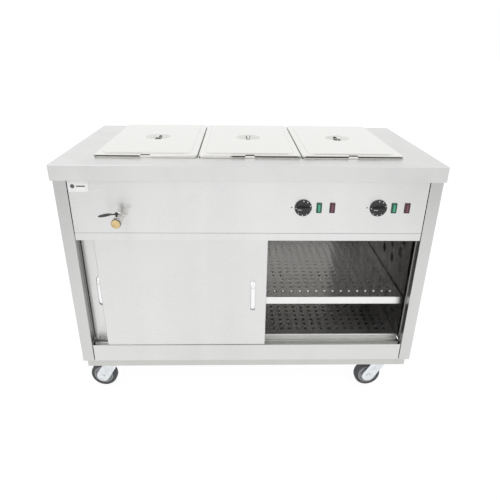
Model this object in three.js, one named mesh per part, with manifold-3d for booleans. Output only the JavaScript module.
// A mobile steam table: a stainless hot cupboard on castors, with three lidded
// food pans hanging in a heated water tank under the worktop.
//
// Millimetres, +Z up. While it is built, x = 0 is the middle of the unit, y = 0 is
// the worktop's front edge with +Y towards the back, and z = 0 is the floor.
// The last lines move the whole unit so that its bounding box is centred on the origin.

import * as THREE from 'three';
import { mergeVertices } from 'three/addons/utils/BufferGeometryUtils.js';
import Module from 'manifold-3d';

const wasm = await Module();
wasm.setup();

// ---------------------------------------------------------------- driving dimensions

const WIDTH = 1200;
const DEPTH = 650;
const HEIGHT = 900;
const SHEET = 1.5;            // thickness of the folded steel sheets
const GAP = 0.3;              // clearance between neighbouring pieces
const WORKTOP_EDGE = 48;      // depth of the worktop's folded edge

const BODY_HALF = 595;        // half width over the side panels
const BODY_FRONT = 10;        // the body stands this far behind the worktop's edge
const BODY_BACK = DEPTH - BODY_FRONT;
const BODY_TOP = HEIGHT - 10; // panels end inside the worktop's folded edge
const BODY_BOTTOM = 178;
const POST_WIDTH = 40;        // folded front return of each side panel
const POST_DEPTH = 36;
const SHADOW_GAP = 3;         // gap between a post and the fronts beside it

const FASCIA_BOTTOM = 680;
const HEADER_BOTTOM = 655;
const PLINTH_TOP = 245;
const CHASSIS_BOTTOM = 132;
const CHASSIS_HALF = 591;
const CHASSIS_SETBACK = 38;

const PAN_WIDTH = 325;        // standard full-size food pan, over its rim
const PAN_LENGTH = 530;
const PAN_DEPTH = 150;
const PAN_PITCH = 328;
const PAN_FRONT = 94;         // front edge of the pans' rims
const RIM_HEIGHT = 6.7;       // the rim's turned-down edge
const PAN_SHEET = 1.2;
const PAN_BODY = [296, 500];  // the pan below its rim
const PAN_CORNER = 35;
const LID_PANEL = [281, 486]; // raised middle of the lid
const LID_RISE = 6;
const DISH_RADIUS = 50;
const DISH_BOTTOM = -2;
const STRAP_HALF = [58, 11];  // strap handle across the dish
const NOTCH_HALF = 14;        // spoon notch in the lid's front border
const DIVIDER_WIDTH = 18;
const TANK_BOTTOM = 716;

const DOOR_WIDTH = 559;
const DOOR_THICKNESS = 14;
const DOOR_BOTTOM = 232;
const DOOR_TOP = 668;
const FRONT_DOOR_Y = 13;
const REAR_DOOR_Y = 47;
const DOOR_END_CLEARANCE = 0.8;
const FRONT_DOOR_REST = -219.5; // centre of the front door, slid open to the left
const HANDLE_Z = 447;
const HANDLE_INSET = 46;      // handle's distance from the door's outer edge
const HANDLE_LENGTH = 114;
const HANDLE_REACH = 16.5;
const ROLLER_RADIUS = 11;
const ROLLER_Z = 688;
const ROLLER_OFFSET = 200;    // rollers left and right of the door's middle

const CUPBOARD_FRONT = 64;    // front edge of the shelves and liners
const CUPBOARD_BACK = 620;
const BOTTOM_SHELF_Z = 250;
const MID_SHELF_Z = 411;
const SHELF_LIP = 27;
const RUNNER_WIDTH = 18;      // folded runners that carry the middle shelf
const CEILING_Z = 672;
const TRACK_TOP = 705;        // closed top of the overhead rails
const TRACK_BOTTOM = 228;     // floor of the bottom track
const GUIDE_TOP = 240;         // top of the rib between the bottom track's channels
const GUIDE_WIDTH = 5;

const CONTROL_Z = 767;
const KNOB_X = [165.7, 401.7];
const KNOB_RADIUS = 27;
const GREEN_LAMP_OFFSET = 49.8; // lamps to the right of their knob
const RED_LAMP_OFFSET = 91.3;
const LAMP_SIZE = [17, 33];

const VALVE_X = -405;
const VALVE_Z = 732;
const VALVE_FRONT = -48;
const PIPE_RADIUS = 10;
const STEM_Y = -26;         // the lever turns about this upright axis
const LEVER_Z = 754;

const CABLE_X = 300;
const CABLE_Z = 215;
const CABLE_RADIUS = 4;

const CASTOR_X = 514;
const CASTOR_Y = 96;
const CASTOR_TRAIL = 42;
const WHEEL_RADIUS = 50;
const FORK_TOP = CHASSIS_BOTTOM - GAP - 3 - GAP;
const FORK_END_RADIUS = 24;   // the broad round end of a fork leg
const FORK_LEAN = 145;        // degrees: where the leg's straight edge meets its round end

// ---------------------------------------------------------------- materials

function metal(color, roughness = 0.35) {
  return new THREE.MeshStandardMaterial({ color, roughness, metalness: 1 });
}

function plain(color, roughness = 0.6) {
  return new THREE.MeshStandardMaterial({ color, roughness, metalness: 0 });
}

const STEEL = 0xd6d6d4;
const INNER_STEEL = 0xa9aaab;

// ---------------------------------------------------------------- solids

function solidOf(geometry) {
  const bare = geometry.clone();
  bare.deleteAttribute('normal');
  bare.deleteAttribute('uv');
  const merged = mergeVertices(bare, 1e-4);
  const index = merged.index.array;
  const triangles = [];
  for (let i = 0; i < index.length; i += 3) {
    const [a, b, c] = [index[i], index[i + 1], index[i + 2]];
    if (a !== b && b !== c && c !== a) triangles.push(a, b, c);
  }
  return new wasm.Manifold(new wasm.Mesh({
    numProp: 3,
    vertProperties: new Float32Array(merged.attributes.position.array),
    triVerts: new Uint32Array(triangles),
  }));
}

function geometryOf(solid) {
  const mesh = solid.getMesh();
  const geometry = new THREE.BufferGeometry();
  geometry.setAttribute('position', new THREE.BufferAttribute(mesh.vertProperties, 3));
  geometry.setIndex(new THREE.BufferAttribute(mesh.triVerts, 1));
  geometry.computeVertexNormals();
  return geometry;
}

function join(...geometries) {
  return geometryOf(geometries.map(solidOf).reduce((sum, next) => sum.add(next)));
}

function cut(geometry, ...tools) {
  return geometryOf(tools.map(solidOf).reduce((left, tool) => left.subtract(tool), solidOf(geometry)));
}

// A block between two corners.
function block(x0, x1, y0, y1, z0, z1) {
  const geometry = new THREE.BoxGeometry(x1 - x0, y1 - y0, z1 - z0);
  return geometry.translate((x0 + x1) / 2, (y0 + y1) / 2, (z0 + z1) / 2);
}

// A flat sheet with rounded corners, centred on x = y = 0, between two heights.
function roundedPlate(width, length, radius, z0, z1) {
  const [w, l] = [width / 2, length / 2];
  const shape = new THREE.Shape();
  shape.absarc(w - radius, l - radius, radius, 0, Math.PI / 2);
  shape.absarc(radius - w, l - radius, radius, Math.PI / 2, Math.PI);
  shape.absarc(radius - w, radius - l, radius, Math.PI, 1.5 * Math.PI);
  shape.absarc(w - radius, radius - l, radius, 1.5 * Math.PI, 2 * Math.PI);
  return new THREE.ExtrudeGeometry(shape, { depth: z1 - z0, bevelEnabled: false, curveSegments: 2 })
    .translate(0, 0, z0);
}

// A turned piece about the Z axis. The profile is [radius, height] pairs, listed
// anticlockwise, starting and ending on the axis or at the same point.
function turned(profile, segments = 20) {
  const points = profile.map(([radius, height]) => new THREE.Vector2(radius, height));
  return new THREE.LatheGeometry(points, segments).rotateX(Math.PI / 2);
}

function rod(radius, z0, z1, segments = 12) {
  return turned([[0, z0], [radius, z0], [radius, z1], [0, z1]], segments);
}

function ring(inner, outer, z0, z1, segments = 16) {
  return turned([[inner, z0], [outer, z0], [outer, z1], [inner, z1], [inner, z0]], segments);
}

// Turns a piece made along +Z so that it runs along -Y, towards the front.
function facingFront(geometry) {
  return geometry.rotateX(Math.PI / 2);
}

// A round bar bent along a smooth path through the given points.
function bentBar(points, radius, steps) {
  const path = new THREE.CatmullRomCurve3(points.map((p) => new THREE.Vector3(...p)), false, 'centripetal');
  const section = new THREE.Shape();
  section.absarc(0, 0, radius, 0, 2 * Math.PI);
  return new THREE.ExtrudeGeometry(section, { steps, extrudePath: path, curveSegments: 4 });
}

const unit = new THREE.Group();

function place(name, geometry, material, parent = unit) {
  const mesh = new THREE.Mesh(geometry, material);
  mesh.name = name;
  parent.add(mesh);
  return mesh;
}

// ---------------------------------------------------------------- worktop and tank

const panXs = [-PAN_PITCH, 0, PAN_PITCH];
const panY = PAN_FRONT + PAN_LENGTH / 2;
const openingWidth = 2 * PAN_PITCH + PAN_WIDTH - 20;
const openingLength = PAN_LENGTH - 16;

function worktop() {
  const shell = cut(
    block(-WIDTH / 2, WIDTH / 2, 0, DEPTH, HEIGHT - WORKTOP_EDGE, HEIGHT),
    block(SHEET - WIDTH / 2, WIDTH / 2 - SHEET, SHEET, DEPTH - SHEET, 0, HEIGHT - SHEET),
    roundedPlate(openingWidth, openingLength, 12, HEIGHT - 20, HEIGHT + 1).translate(0, panY, 0),
  );
  const [bottom, half] = [HEIGHT - WORKTOP_EDGE, (WIDTH - SHEET) / 2];
  const frontReturn = block(-half, half, SHEET / 3, BODY_FRONT - 2, bottom, bottom + SHEET);
  return join(shell, frontReturn);
}

// The tank is a welded box whose flange carries the divider bars and lies under the
// worktop. Its drain pipe runs forward to the valve.
function bainMarieTank() {
  const [ledge, flange] = [3, 12];
  const [innerWidth, innerLength] = [openingWidth - 2 * ledge, openingLength - 2 * ledge];
  const top = HEIGHT - SHEET - GAP;
  const outer = roundedPlate(innerWidth + 2 * SHEET, innerLength + 2 * SHEET, 22, TANK_BOTTOM, top);
  const rim = roundedPlate(openingWidth + 2 * flange, openingLength + 2 * flange, 22, top - SHEET, top);
  const hollow = roundedPlate(innerWidth, innerLength, 20.5, TANK_BOTTOM + SHEET, HEIGHT);
  const wallY = PAN_FRONT + 8 + ledge;
  const pipeEnd = BODY_FRONT - 7;
  const pipe = facingFront(rod(PIPE_RADIUS, -wallY, -pipeEnd)).translate(VALVE_X, 0, VALVE_Z);
  const bore = facingFront(rod(PIPE_RADIUS - 2.5, -wallY - 10, -pipeEnd + 5)).translate(VALVE_X, 0, VALVE_Z);
  const box = cut(join(outer, rim), hollow).translate(0, panY, 0);
  return cut(join(box, pipe), bore);
}

function dividerBar() {
  const half = DIVIDER_WIDTH / 2;
  const length = openingLength / 2 - GAP;
  const top = block(-half, half, -length, length, HEIGHT - SHEET, HEIGHT);
  const web = block(-SHEET / 2, SHEET / 2, -length + 12, length - 12, HEIGHT - 22, HEIGHT - SHEET / 2);
  return join(top, web);
}

// ---------------------------------------------------------------- pans and lids

// Heights are counted from the worktop's surface.
function pan() {
  const [bodyWidth, bodyLength] = PAN_BODY;
  const rimOuter = roundedPlate(PAN_WIDTH, PAN_LENGTH, 12, GAP, RIM_HEIGHT + GAP);
  const underRim = roundedPlate(
    PAN_WIDTH - 2 * PAN_SHEET, PAN_LENGTH - 2 * PAN_SHEET, 12 - PAN_SHEET, -1, RIM_HEIGHT + GAP - PAN_SHEET);
  const top = RIM_HEIGHT + GAP;
  const body = roundedPlate(bodyWidth, bodyLength, PAN_CORNER, top - PAN_DEPTH, top);
  const hollow = roundedPlate(
    bodyWidth - 2 * PAN_SHEET, bodyLength - 2 * PAN_SHEET, PAN_CORNER - PAN_SHEET,
    top - PAN_DEPTH + PAN_SHEET, top + 1);
  return cut(join(cut(rimOuter, underRim), body), hollow);
}

// A pressed lid: a flat border with a spoon notch at its front, a raised panel and a
// round dish in its middle, bridged by a strap handle. z = 0 is the border's underside.
function lid() {
  const [panelWidth, panelLength] = LID_PANEL;
  const border = roundedPlate(PAN_WIDTH, PAN_LENGTH, 12, 0, PAN_SHEET);
  const panel = roundedPlate(panelWidth, panelLength, 20, 0, LID_RISE);
  const underPanel = roundedPlate(
    panelWidth - 2 * PAN_SHEET, panelLength - 2 * PAN_SHEET, 20 - PAN_SHEET, -1, LID_RISE - PAN_SHEET);
  const dish = rod(DISH_RADIUS, DISH_BOTTOM, LID_RISE, 20);
  const dishHollow = rod(DISH_RADIUS - PAN_SHEET, DISH_BOTTOM + PAN_SHEET, LID_RISE + 1, 20);
  const [strapX, strapY] = STRAP_HALF;
  const strap = block(-strapX, strapX, -strapY, strapY, LID_RISE - 0.5, LID_RISE + 2);
  const front = -PAN_LENGTH / 2;
  const notch = block(-NOTCH_HALF, NOTCH_HALF, front - 1, front + 12, -1, 2);
  const pressed = cut(join(cut(join(border, panel), underPanel), dish), dishHollow, notch);
  return join(pressed, strap);
}

// ---------------------------------------------------------------- cabinet sheets

// side = 1 is the right panel and side = -1 the left one.
function sidePanel(side) {
  const inner = BODY_HALF - POST_WIDTH;
  const [z0, z1] = [BODY_BOTTOM, BODY_TOP];
  const skin = block(BODY_HALF - SHEET, BODY_HALF, BODY_FRONT, BODY_BACK, z0, z1);
  const post = block(inner, BODY_HALF, BODY_FRONT, BODY_FRONT + SHEET, z0, z1);
  const postReturn = block(inner, inner + SHEET, BODY_FRONT, BODY_FRONT + POST_DEPTH, z0, z1);
  const backReturn = block(BODY_HALF - 20, BODY_HALF, BODY_BACK - SHEET, BODY_BACK, z0, z1);
  return mirrored(join(skin, post, postReturn, backReturn), side);
}

// Mirrors a piece made for the right side to the left when side is -1.
function mirrored(geometry, side) {
  if (side > 0) return geometry;
  const solid = solidOf(geometry);
  return geometryOf(solid.mirror([1, 0, 0]));
}

const frontHalf = BODY_HALF - POST_WIDTH - SHADOW_GAP;

function backPanel() {
  const half = BODY_HALF - 20 - GAP;
  const cableHole = facingFront(rod(6, -DEPTH, -BODY_BACK + 20)).translate(CABLE_X, 0, CABLE_Z);
  return cut(block(-half, half, BODY_BACK - SHEET, BODY_BACK, BODY_BOTTOM, BODY_TOP), cableHole);
}

function lampXs(offset) {
  return KNOB_X.map((x) => x + offset);
}

function controlFascia() {
  const plate = block(-frontHalf, frontHalf, BODY_FRONT, BODY_FRONT + SHEET, FASCIA_BOTTOM, BODY_TOP);
  const topReturn = block(-frontHalf, frontHalf, BODY_FRONT, BODY_FRONT + 15, BODY_TOP - SHEET, BODY_TOP);
  const throughHole = (radius, x, z) => facingFront(rod(radius, -BODY_FRONT - 10, 0)).translate(x, 0, z);
  const lampHoles = [...lampXs(GREEN_LAMP_OFFSET), ...lampXs(RED_LAMP_OFFSET)].map((x) => block(
    x - LAMP_SIZE[0] / 2 + 1.5, x + LAMP_SIZE[0] / 2 - 1.5, 0, BODY_FRONT + 8,
    CONTROL_Z - LAMP_SIZE[1] / 2 + 1.5, CONTROL_Z + LAMP_SIZE[1] / 2 - 1.5));
  const shaftHoles = KNOB_X.map((x) => throughHole(4.5, x, CONTROL_Z));
  return cut(join(plate, topReturn), ...lampHoles, ...shaftHoles, throughHole(11.5, VALVE_X, VALVE_Z));
}

// The header hides two overhead rails, one behind the other, that the doors' rollers run on.
function doorHeader() {
  const railTop = ROLLER_Z - ROLLER_RADIUS - GAP;
  const span = (y0, y1, z0, z1) => block(-frontHalf, frontHalf, y0, y1, z0, z1);
  const innerWallY = BODY_FRONT + SHEET + 0.6;
  return join(
    span(BODY_FRONT, BODY_FRONT + SHEET, HEADER_BOTTOM, FASCIA_BOTTOM - GAP),
    span(BODY_FRONT, innerWallY + SHEET, FASCIA_BOTTOM - GAP - SHEET, FASCIA_BOTTOM - GAP),
    span(innerWallY, innerWallY + SHEET, railTop - 2, TRACK_TOP),
    span(innerWallY, CUPBOARD_FRONT, TRACK_TOP - SHEET, TRACK_TOP),
    span(innerWallY, FRONT_DOOR_Y + 9.5, railTop - 2, railTop),
    span(REAR_DOOR_Y - 3, REAR_DOOR_Y - 3 + SHEET, railTop - 10, TRACK_TOP),
    span(REAR_DOOR_Y - 3, REAR_DOOR_Y + 9.5, railTop - 2, railTop),
    span(CUPBOARD_FRONT - 1 - SHEET, CUPBOARD_FRONT - 1, HEADER_BOTTOM, TRACK_TOP),
  );
}

// The bottom track has a channel for each door, parted by a folded guide rib.
function bottomDoorTrack() {
  const z0 = TRACK_BOTTOM;
  const middle = (FRONT_DOOR_Y + DOOR_THICKNESS + REAR_DOOR_Y) / 2;
  const [ribFront, ribBack] = [middle - GUIDE_WIDTH / 2, middle + GUIDE_WIDTH / 2];
  const span = (y0, y1, za, zb) => block(-frontHalf, frontHalf, y0, y1, za, zb);
  const rib = cut(
    span(ribFront, ribBack, z0, GUIDE_TOP),
    block(-WIDTH, WIDTH, ribFront + SHEET, ribBack - SHEET, 0, GUIDE_TOP - SHEET));
  return join(
    span(BODY_FRONT + SHEET + GAP, ribFront + 1, z0, z0 + SHEET),
    rib,
    span(ribBack - 1, CUPBOARD_FRONT - 1.5, z0, z0 + SHEET),
  );
}

function frontPlinth() {
  const span = (y1, z0, z1) => block(-frontHalf, frontHalf, BODY_FRONT, y1, z0, z1);
  return join(
    span(BODY_FRONT + SHEET, BODY_BOTTOM, PLINTH_TOP),
    span(BODY_FRONT + 24, BODY_BOTTOM, BODY_BOTTOM + SHEET),
  );
}

function baseTray() {
  const [y0, y1] = [CHASSIS_SETBACK, DEPTH - CHASSIS_SETBACK];
  const top = BODY_BOTTOM - GAP;
  const inner = CHASSIS_HALF - 2;
  return cut(
    block(-CHASSIS_HALF, CHASSIS_HALF, y0, y1, CHASSIS_BOTTOM, top),
    block(-inner, inner, y0 + 2, y1 - 2, CHASSIS_BOTTOM + 2, top + 1));
}

// A shelf is a tray turned upside down, with a folded lip all round.
function shelf(top, halfWidth) {
  const [y0, y1] = [CUPBOARD_FRONT + 1, CUPBOARD_BACK - GAP];
  return cut(
    block(-halfWidth, halfWidth, y0, y1, top - SHELF_LIP, top),
    block(SHEET - halfWidth, halfWidth - SHEET, y0 + SHEET, y1 - SHEET, 0, top - SHEET));
}

const linerX = BODY_HALF - POST_WIDTH - SHEET;

// The liner has a folded runner that carries the middle shelf.
function sideLiner(side) {
  const runnerTop = MID_SHELF_Z - SHELF_LIP - GAP;
  const wall = block(
    linerX, linerX + SHEET, CUPBOARD_FRONT + 2, CUPBOARD_BACK, BODY_BOTTOM + 2, CEILING_Z - GAP);
  const runner = block(
    linerX - RUNNER_WIDTH, linerX + SHEET / 3, CUPBOARD_FRONT + 6, CUPBOARD_BACK - 10,
    runnerTop - SHEET, runnerTop);
  return mirrored(join(wall, runner), side);
}

// One sheet makes the cupboard's back wall and, folded forward, its ceiling.
function rearLiner() {
  const half = linerX + SHEET;
  const wallY = CUPBOARD_BACK + GAP;
  return join(
    block(-half, half, wallY, wallY + SHEET, BODY_BOTTOM + 2, CEILING_Z + SHEET),
    block(-half, half, CUPBOARD_FRONT + 2, CUPBOARD_BACK + 1, CEILING_Z, CEILING_Z + SHEET),
  );
}

// ---------------------------------------------------------------- heating and controls

function tankElement() {
  const z = TANK_BOTTOM - 6;
  const [x, y0, y1] = [360, 190, 530];
  return bentBar([
    [-x, y0, z], [-x / 3, y0, z], [x / 3, y0, z], [x - 60, y0, z], [x, y0 + 60, z],
    [x, y1 - 60, z], [x - 60, y1, z], [x / 3, y1, z], [-x / 3, y1, z], [-x, y1, z],
  ], 4.25, 20);
}

function cupboardElement() {
  const z = 206;
  const [x, y0, y1] = [380, 220, 480];
  return bentBar([
    [-x, y0, z], [-x / 3, y0, z], [x / 3, y0, z], [x - 50, y0, z], [x, y0 + 50, z],
    [x, y1 - 50, z], [x - 50, y1, z], [x / 3, y1, z], [-x / 3, y1, z], [-x, y1, z],
  ], 4.25, 20);
}

// Bezel and lens in front of the fascia, and the clip-in body behind it.
function lamp() {
  const [w, h] = [LAMP_SIZE[0] / 2, LAMP_SIZE[1] / 2];
  const bezel = block(-w, w, -4.3, -GAP, -h, h);
  const body = block(2 - w, w - 2, -1, 34, 2 - h, h - 2);
  return join(bezel, body);
}

function thermostat() {
  const back = SHEET + GAP;
  const body = block(-23, 23, back, back + 38, -23, 23);
  const shaft = facingFront(rod(3, -back - 5, 12));
  return join(body, shaft);
}

// The knob's skirt carries the dial, and a bar across it is turned by hand.
function knob() {
  const skirt = facingFront(turned([
    [0, GAP], [KNOB_RADIUS, GAP], [KNOB_RADIUS, 4], [KNOB_RADIUS - 1.5, 5.5], [18, 7], [16, 9], [0, 9],
  ], 24));
  const bar = block(-KNOB_RADIUS + 5, KNOB_RADIUS - 5, -21, -5, -6, 6);
  const bore = facingFront(rod(3.5, -1, 14));
  return cut(join(skirt, bar), bore);
}

// ---------------------------------------------------------------- drain valve

function drainValveBody() {
  const back = -(BODY_FRONT - GAP);
  const front = -VALVE_FRONT;
  const nut = facingFront(turned([[0, back], [16, back], [16, back + 10], [0, back + 10]], 6));
  const barrel = facingFront(turned([
    [0, back + 5], [12, back + 5], [12, 9], [15, 15], [16.5, 26], [15, 36], [12.5, 39], [14.5, 40],
    [14.5, front], [0, front],
  ], 16));
  const neck = rod(6.5, 0, LEVER_Z - VALVE_Z - 5);
  const socket = facingFront(rod(PIPE_RADIUS + 0.6, back - 1, -2.5));
  const stemHole = rod(3.4, 11, LEVER_Z - VALVE_Z);
  return cut(join(nut, barrel, neck.translate(0, STEM_Y, 0)), socket, stemHole.translate(0, STEM_Y, 0));
}

// Two wings of unequal length on a stem that drops into the valve's neck.
// z = 0 is the underside of the wings.
function drainValveLever() {
  const wings = new THREE.Shape();
  wings.moveTo(-48, -6);
  wings.lineTo(-12, -5);
  wings.lineTo(12, -5);
  wings.lineTo(28, -4);
  wings.absarc(28, 0, 4, -Math.PI / 2, Math.PI / 2);
  wings.lineTo(12, 5);
  wings.lineTo(-12, 5);
  wings.lineTo(-48, 6);
  wings.absarc(-48, 0, 6, Math.PI / 2, 1.5 * Math.PI);
  const plate = new THREE.ExtrudeGeometry(wings, { depth: 2.5, bevelEnabled: false, curveSegments: 3 });
  return join(plate, rod(3, -9, 1), turned([[0, 1], [5.5, 1], [5.5, 7], [3, 9], [0, 9]], 12));
}

// ---------------------------------------------------------------- doors

// A folded panel, open at its back, with two hangers above it that carry roller pins.
// The origin is the middle of the front face, at floor height.
function door() {
  const half = DOOR_WIDTH / 2;
  const panel = cut(
    block(-half, half, 0, DOOR_THICKNESS, DOOR_BOTTOM, DOOR_TOP),
    block(SHEET - half, half - SHEET, SHEET, DOOR_THICKNESS + 1, DOOR_BOTTOM + SHEET, DOOR_TOP - SHEET));
  const hangers = [-ROLLER_OFFSET, ROLLER_OFFSET].map((x) => {
    const strip = block(x - 14, x + 14, DOOR_THICKNESS - 2, DOOR_THICKNESS, DOOR_TOP - 10, ROLLER_Z + 12);
    const pin = facingFront(rod(3, -DOOR_THICKNESS + 1, -1.2, 16)).translate(x, 0, ROLLER_Z);
    return join(strip, pin);
  });
  return join(panel, ...hangers);
}

function doorRoller() {
  return facingFront(ring(3.4, ROLLER_RADIUS, -10, -2.2));
}

// A bow handle: a flat bar arched away from the door, with a foot at each end.
function doorHandle() {
  const [half, thick, width] = [HANDLE_LENGTH / 2, 4, 15];
  const arch = new THREE.Shape();
  const inner = HANDLE_REACH - thick;
  arch.moveTo(-half, 0);
  arch.quadraticCurveTo(-half + 6, HANDLE_REACH, -half + 26, HANDLE_REACH);
  arch.lineTo(half - 26, HANDLE_REACH);
  arch.quadraticCurveTo(half - 6, HANDLE_REACH, half, 0);
  arch.lineTo(half - 9, 0);
  arch.quadraticCurveTo(half - 12, inner, half - 28, inner);
  arch.lineTo(28 - half, inner);
  arch.quadraticCurveTo(12 - half, inner, 9 - half, 0);
  const bow = new THREE.ExtrudeGeometry(arch, { depth: width, bevelEnabled: false, curveSegments: 5 });
  // The arch is drawn along x and rises along y: turn it upright, rising towards the front.
  return bow.translate(0, 0, -width / 2).rotateX(Math.PI).rotateY(-Math.PI / 2);
}

// ---------------------------------------------------------------- castors

// Top plate with four bolt heads, and the kingpin that the fork turns on.
function castorPlate() {
  const top = CHASSIS_BOTTOM - GAP;
  const plate = roundedPlate(100, 85, 8, top - 3, top);
  const bolt = rod(6.5, top - 7, top - 1, 6);
  const bolts = [-1, 1].flatMap((i) => [-1, 1].map((j) => bolt.clone().translate(38 * i, 31 * j, 0)));
  const kingpin = rod(6, FORK_TOP - 12, top - 1);
  const nut = rod(10, FORK_TOP - 17, FORK_TOP - 10.5, 6);
  return join(plate, ...bolts, kingpin, nut);
}

// The origin is on the swivel axis at floor height, and the wheel trails towards -X.
function castorFork() {
  const [inside, sheet, crown] = [19, 2.5, FORK_TOP - 10];
  const head = turned([[0, crown], [27, crown], [30, crown + 3], [30, FORK_TOP], [0, FORK_TOP]]);
  const bridge = block(-27, 22, -inside - sheet, inside + sheet, crown, crown + sheet);
  const side = new THREE.Shape();
  const lean = THREE.MathUtils.degToRad(FORK_LEAN);
  side.moveTo(22, crown + sheet);
  side.lineTo(-27, crown + sheet);
  side.absarc(-CASTOR_TRAIL, WHEEL_RADIUS, FORK_END_RADIUS, lean, lean + Math.PI);
  side.lineTo(22, crown - 8);
  const leg = new THREE.ExtrudeGeometry(side, { depth: sheet, bevelEnabled: false, curveSegments: 4 })
    .rotateX(Math.PI / 2);
  const axle = facingFront(rod(5, -inside - 6, inside + 6)).translate(-CASTOR_TRAIL, 0, WHEEL_RADIUS);
  const body = join(
    head, bridge, leg.clone().translate(0, inside + sheet, 0), leg.clone().translate(0, -inside, 0), axle);
  return cut(body, rod(6.5, 0, FORK_TOP + 1));
}

function wheelHub() {
  return facingFront(turned([
    [5.4, -17], [11, -17], [11, -9], [32, -9], [34, -13], [37, -13], [37, 13], [34, 13], [32, 9], [11, 9],
    [11, 17], [5.4, 17], [5.4, -17],
  ], 24));
}

function wheelTyre() {
  const inner = 37 + GAP;
  return facingFront(turned([
    [inner, -15], [47, -15], [WHEEL_RADIUS, -9], [WHEEL_RADIUS, 9], [47, 15], [inner, 15], [inner, -15],
  ], 24));
}

// ---------------------------------------------------------------- mains cable

function mainsCable() {
  const outsideY = BODY_BACK + 5.2;
  const lead = bentBar([
    [0, BODY_BACK - 16, CABLE_Z], [0, BODY_BACK - 8, CABLE_Z], [0, outsideY - 3, CABLE_Z - 1],
    [0, outsideY, CABLE_Z - 12], [0, outsideY, 150], [0, outsideY - 3, 118], [0, 622, 92], [0, 608, 76],
  ], CABLE_RADIUS, 18);
  const plugTilt = 0.55;
  const plug = turned([[0, -30], [13, -30], [15, -24], [15, -8], [8, 4], [5.5, 12], [0, 12]], 16)
    .rotateX(-plugTilt).translate(0, 603, 68);
  return join(lead, plug).translate(CABLE_X, 0, 0);
}

// ---------------------------------------------------------------- assembly

place('worktop', worktop(), metal(STEEL));
place('bain_marie_tank', bainMarieTank(), metal(INNER_STEEL));
place('left_side_panel', sidePanel(-1), metal(STEEL));
place('right_side_panel', sidePanel(1), metal(STEEL));
place('back_panel', backPanel(), metal(STEEL));
place('control_fascia', controlFascia(), metal(STEEL));
place('door_header', doorHeader(), metal(STEEL));
place('bottom_door_track', bottomDoorTrack(), metal(INNER_STEEL));
place('front_plinth', frontPlinth(), metal(STEEL));
place('base_tray', baseTray(), metal(STEEL));
place('bottom_shelf', shelf(BOTTOM_SHELF_Z, linerX - GAP), metal(INNER_STEEL));
place('mid_shelf', shelf(MID_SHELF_Z, linerX - 1.5), metal(INNER_STEEL));
place('left_liner', sideLiner(-1), metal(INNER_STEEL));
place('right_liner', sideLiner(1), metal(INNER_STEEL));
place('rear_liner', rearLiner(), metal(INNER_STEEL));
place('tank_element', tankElement(), metal(0x5c5a57, 0.5));
place('cupboard_element', cupboardElement(), metal(0x5c5a57, 0.5));
place('mains_cable', mainsCable(), plain(0x1c1c1e));

for (const [name, x] of [['divider_bar_left', -PAN_PITCH / 2], ['divider_bar_right', PAN_PITCH / 2]]) {
  place(name, dividerBar(), metal(STEEL)).position.set(x, panY, 0);
}

['left', 'middle', 'right'].forEach((side, i) => {
  const lidZ = HEIGHT + RIM_HEIGHT + 2 * GAP;
  place(`${side}_pan`, pan(), metal(0xcfcfca, 0.25)).position.set(panXs[i], panY, HEIGHT);
  place(`${side}_lid`, lid(), metal(0xdcdad4, 0.25)).position.set(panXs[i], panY, lidZ);
});

['left', 'right'].forEach((side, i) => {
  for (const [name, geometry, material, offset] of [
    ['thermostat', thermostat(), plain(0xd8d2c4), 0],
    ['knob', knob(), plain(0x1d1d1f, 0.45), 0],
    ['power_lamp', lamp(), plain(0x1f9a6c, 0.3), GREEN_LAMP_OFFSET],
    ['heat_lamp', lamp(), plain(0x6b2238, 0.3), RED_LAMP_OFFSET],
  ]) {
    place(`${name}_${side}`, geometry, material).position.set(KNOB_X[i] + offset, BODY_FRONT, CONTROL_Z);
  }
});

place('drain_valve_body', drainValveBody(), metal(0xc9a24e, 0.3)).position.set(VALVE_X, 0, VALVE_Z);
const lever = place('drain_valve_lever', drainValveLever(), metal(0x8b8d90, 0.4));
lever.position.set(VALVE_X, STEM_Y, LEVER_Z);
lever.rotation.z = 0.2;

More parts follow.
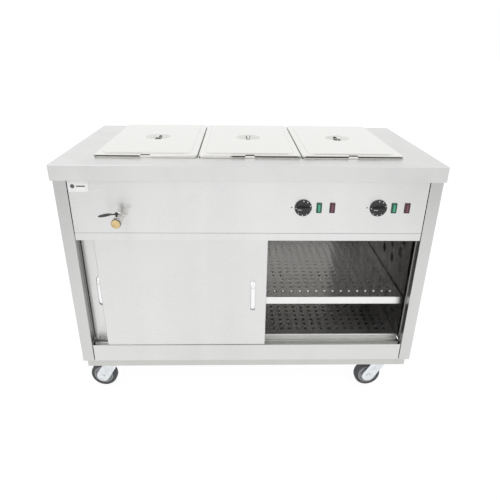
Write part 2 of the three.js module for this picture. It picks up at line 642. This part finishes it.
const closedReach = BODY_HALF - POST_WIDTH - DOOR_END_CLEARANCE - DOOR_WIDTH / 2;
const doorPlaces = {
  right: { x: FRONT_DOOR_REST, y: FRONT_DOOR_Y, handleX: DOOR_WIDTH / 2 - HANDLE_INSET },
  left: { x: -closedReach, y: REAR_DOOR_Y, handleX: HANDLE_INSET - DOOR_WIDTH / 2 },
};
for (const [side, { x, y, handleX }] of Object.entries(doorPlaces)) {
  const leaf = new THREE.Group();
  leaf.position.set(x, y, 0);
  unit.add(leaf);
  place(`${side}_door`, door(), metal(STEEL), leaf);
  const handle = place(`${side}_door_handle`, doorHandle(), metal(0xe2e3e5, 0.12), leaf);
  handle.position.set(handleX, -0.2, HANDLE_Z);
  for (const [letter, offset] of [['a', -ROLLER_OFFSET], ['b', ROLLER_OFFSET]]) {
    const roller = place(`${side}_door_roller_${letter}`, doorRoller(), plain(0xe9e9e4), leaf);
    roller.position.set(offset, 0, ROLLER_Z);
  }
}

const castors = {
  front_left: [-CASTOR_X, CASTOR_Y, -5],
  front_right: [CASTOR_X, CASTOR_Y, 4],
  rear_left: [-CASTOR_X, DEPTH - CASTOR_Y, 3],
  rear_right: [CASTOR_X, DEPTH - CASTOR_Y, -4],
};
for (const [corner, [x, y, turn]] of Object.entries(castors)) {
  place(`castor_plate_${corner}`, castorPlate(), metal(0xb9bcc0, 0.4)).position.set(x, y, 0);
  const swivel = new THREE.Group();
  swivel.position.set(x, y, 0);
  swivel.rotation.z = THREE.MathUtils.degToRad(turn);
  unit.add(swivel);
  place(`castor_fork_${corner}`, castorFork(), metal(0xc4c7ca, 0.35), swivel);
  for (const [name, geometry, material] of [
    ['castor_hub', wheelHub(), plain(0xb4b6b8)],
    ['castor_tyre', wheelTyre(), plain(0x4a4c4f, 0.8)],
  ]) {
    place(`${name}_${corner}`, geometry, material, swivel).position.set(-CASTOR_TRAIL, 0, WHEEL_RADIUS);
  }
}

const bounds = new THREE.Box3().setFromObject(unit, true);
const middle = bounds.getCenter(new THREE.Vector3());
unit.position.set(-middle.x, -middle.y, -bounds.min.z);

export default unit;
